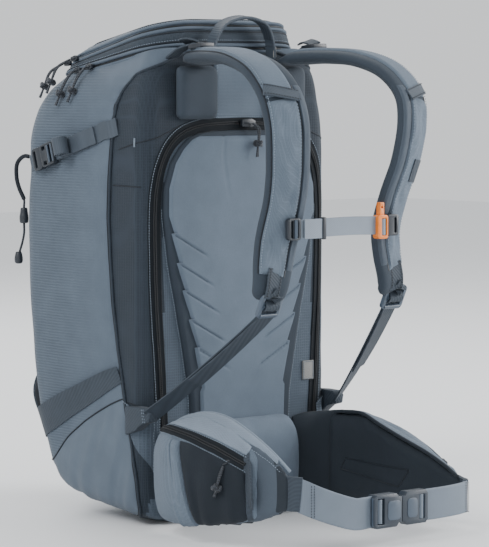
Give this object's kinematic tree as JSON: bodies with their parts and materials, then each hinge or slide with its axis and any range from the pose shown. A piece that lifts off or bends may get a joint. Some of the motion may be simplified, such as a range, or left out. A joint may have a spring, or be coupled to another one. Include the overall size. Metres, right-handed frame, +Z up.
{
  "type": "ski backpack",
  "caption": "Panel-loading ski touring backpack with hinged lid, shaped shoulder harness, sternum strap and padded hip belt with side-release buckle.",
  "frame": {"origin": "centre of the bounding box on the plane that the base stands on", "axes": "+Z up, the harness and the wearer on the -Y side, the wearer's right at -X"},
  "size_m": [0.3457, 0.517, 0.5698],
  "materials": {
    "slate_fabric": "heavy woven nylon, slate blue-grey",
    "dark_fabric": "dark ripstop and binding",
    "ribbed_foam": "fabric-faced moulded foam",
    "strap_cover": "padded cover over foam",
    "satin_webbing": "satin polyamide webbing",
    "black_plastic": "moulded acetal",
    "orange_plastic": "moulded acetal",
    "cord": "braided cord",
    "aluminium": "bent rod"
  },
  "bodies": {
    "bag": {"back_panel": "ribbed_foam", "back_zip_tape": "dark_fabric", "base_panel": "slate_fabric", "compression_buckle_left": "black_plastic", "compression_buckle_right": "black_plastic", "compression_webbing_left": "satin_webbing", "compression_webbing_right": "satin_webbing", "edge_guard_left": "dark_fabric", "edge_guard_right": "dark_fabric", "elastic_end_knob": "black_plastic", "frame_stay": "aluminium", "front_elastic": "cord", "front_lower_loop": "satin_webbing", "label": "dark_fabric", "lifter_webbing_left": "satin_webbing", "lifter_webbing_right": "satin_webbing", "lower_tab_left": "dark_fabric", "lower_tab_right": "dark_fabric", "lower_webbing_left": "satin_webbing", "lower_webbing_right": "satin_webbing", "lumbar_pad": "ribbed_foam", "main_bag": "slate_fabric", "yoke_pad": "slate_fabric"},
    "lid": {"lid_shell": "slate_fabric"},
    "lid_flap": {"lid_flap": "slate_fabric"},
    "lid_slider_rear": {"lid_slider_rear": "black_plastic", "lid_slider_rear_pull": "cord"},
    "lid_slider_front": {"lid_slider_front": "black_plastic", "lid_slider_front_pull": "cord"},
    "flap_slider_rear": {"flap_slider_rear": "black_plastic", "flap_slider_rear_pull": "cord"},
    "flap_slider_front": {"flap_slider_front": "black_plastic", "flap_slider_front_pull": "cord"},
    "back_slider": {"back_slider": "black_plastic", "back_slider_pull": "cord"},
    "haul_loop": {"haul_loop": "satin_webbing"},
    "harness": {"shoulder_strap_right": "strap_cover", "shoulder_strap_left": "strap_cover", "lifter_buckle_right": "black_plastic", "lifter_buckle_left": "black_plastic"},
    "ladder_lock_right": {"ladder_lock_right": "black_plastic"},
    "ladder_lock_left": {"ladder_lock_left": "black_plastic"},
    "sternum": {"sternum_webbing": "satin_webbing", "sternum_clip": "black_plastic", "whistle_buckle": "orange_plastic", "sternum_buckle_mate": "black_plastic"},
    "hip_wing_right": {"hip_wing_right": "strap_cover", "hip_webbing_right": "satin_webbing", "gear_loop": "satin_webbing", "hip_buckle_female": "black_plastic"},
    "hip_wing_left": {"hip_wing_left": "strap_cover", "hip_webbing_left": "satin_webbing"},
    "hip_buckle_male": {"hip_buckle_male": "black_plastic"},
    "hip_slider_right": {"hip_slider_right": "black_plastic", "hip_slider_right_pull": "cord"},
    "hip_slider_left": {"hip_slider_left": "black_plastic", "hip_slider_left_pull": "cord"},
    "compression_clip_right": {"compression_clip_right": "black_plastic"},
    "compression_clip_left": {"compression_clip_left": "black_plastic"},
    "cord_lock": {"cord_lock": "black_plastic"}
  },
  "joints": [
    {"name": "lid_hinge", "type": "hinge", "parent": "bag", "child": "lid", "pos_m": [0, 0.2245, 0.496], "axis": [-1, 0, 0], "range_deg": [0, 100]},
    {"name": "lid_flap_hinge", "type": "hinge", "parent": "lid", "child": "lid_flap", "pos_m": [0, 0.2195, 0.509], "axis": [-1, 0, 0], "range_deg": [0, 75]},
    {"name": "lid_slider_rear_travel", "type": "slide", "parent": "bag", "child": "lid_slider_rear", "axis": [0, -0.9834, 0.1815], "range_m": [0, 0.055]},
    {"name": "lid_slider_front_travel", "type": "slide", "parent": "bag", "child": "lid_slider_front", "axis": [0, 0.9834, -0.1815], "range_m": [0, 0.012]},
    {"name": "flap_slider_rear_travel", "type": "slide", "parent": "lid", "child": "flap_slider_rear", "axis": [0, -0.9698, 0.2437], "range_m": [0, 0.055]},
    {"name": "flap_slider_front_travel", "type": "slide", "parent": "lid", "child": "flap_slider_front", "axis": [0, 0.9698, -0.2437], "range_m": [0, 0.01]},
    {"name": "back_slider_travel", "type": "slide", "parent": "bag", "child": "back_slider", "axis": [-1, 0, 0], "range_m": [-0.02, 0.04]},
    {"name": "haul_loop_hinge", "type": "hinge", "parent": "bag", "child": "haul_loop", "pos_m": [0, 0.0165, 0.5235], "axis": [1, 0, 0], "range_deg": [0, 30]},
    {"name": "harness_hinge", "type": "hinge", "parent": "bag", "child": "harness", "pos_m": [0, 0.0125, 0.5175], "axis": [1, 0, 0], "range_deg": [-12, 12], "stiffness_Nm_per_rad": 10, "deforming": ["lower_webbing_right", "lower_webbing_left", "lifter_webbing_right", "lifter_webbing_left"]},
    {"name": "ladder_lock_right_hinge", "type": "hinge", "parent": "harness", "child": "ladder_lock_right", "pos_m": [-0.092, -0.1425, 0.2665], "axis": [1, 0, 0], "range_deg": [-15, 15], "deforming": ["lower_webbing_right"]},
    {"name": "ladder_lock_left_hinge", "type": "hinge", "parent": "harness", "child": "ladder_lock_left", "pos_m": [0.092, -0.1425, 0.2665], "axis": [1, 0, 0], "range_deg": [-15, 15], "deforming": ["lower_webbing_left"]},
    {"name": "sternum_travel", "type": "slide", "parent": "harness", "child": "sternum", "axis": [0, -0.2501, 0.9682], "range_m": [-0.004, 0.022]},
    {"name": "hip_wing_left_hinge", "type": "hinge", "parent": "bag", "child": "hip_wing_left", "pos_m": [0.118, 0.0045, 0.05], "axis": [0, 0, 1], "range_deg": [0, 25], "stiffness_Nm_per_rad": 1},
    {"name": "hip_wing_right_hinge", "type": "hinge", "parent": "bag", "child": "hip_wing_right", "pos_m": [-0.118, 0.0045, 0.05], "axis": [0, 0, -1], "range_deg": [0, 25], "stiffness_Nm_per_rad": 1},
    {"name": "hip_buckle_travel", "type": "slide", "parent": "hip_wing_left", "child": "hip_buckle_male", "axis": [1, 0, 0], "range_m": [0, 0.02], "deforming": ["hip_webbing_left"]},
    {"name": "hip_slider_right_travel", "type": "slide", "parent": "hip_wing_right", "child": "hip_slider_right", "axis": [-0.2963, 0.9384, 0.1778], "range_m": [0, 0.028]},
    {"name": "hip_slider_left_travel", "type": "slide", "parent": "hip_wing_left", "child": "hip_slider_left", "axis": [0.4161, 0.8917, 0.1783], "range_m": [0, 0.025]},
    {"name": "compression_clip_right_travel", "type": "slide", "parent": "bag", "child": "compression_clip_right", "axis": [0, 0.9568, -0.2906], "range_m": [0, 0.02]},
    {"name": "compression_clip_left_travel", "type": "slide", "parent": "bag", "child": "compression_clip_left", "axis": [0, 0.9568, -0.2906], "range_m": [0, 0.02]},
    {"name": "cord_lock_travel", "type": "slide", "parent": "bag", "child": "cord_lock", "axis": [0, 0, 1], "range_m": [-0.006, 0.006]}
  ],
  "couplings": [
    {"joint": "hip_wing_right_hinge", "follows": "hip_wing_left_hinge", "ratio": 1}
  ]
}
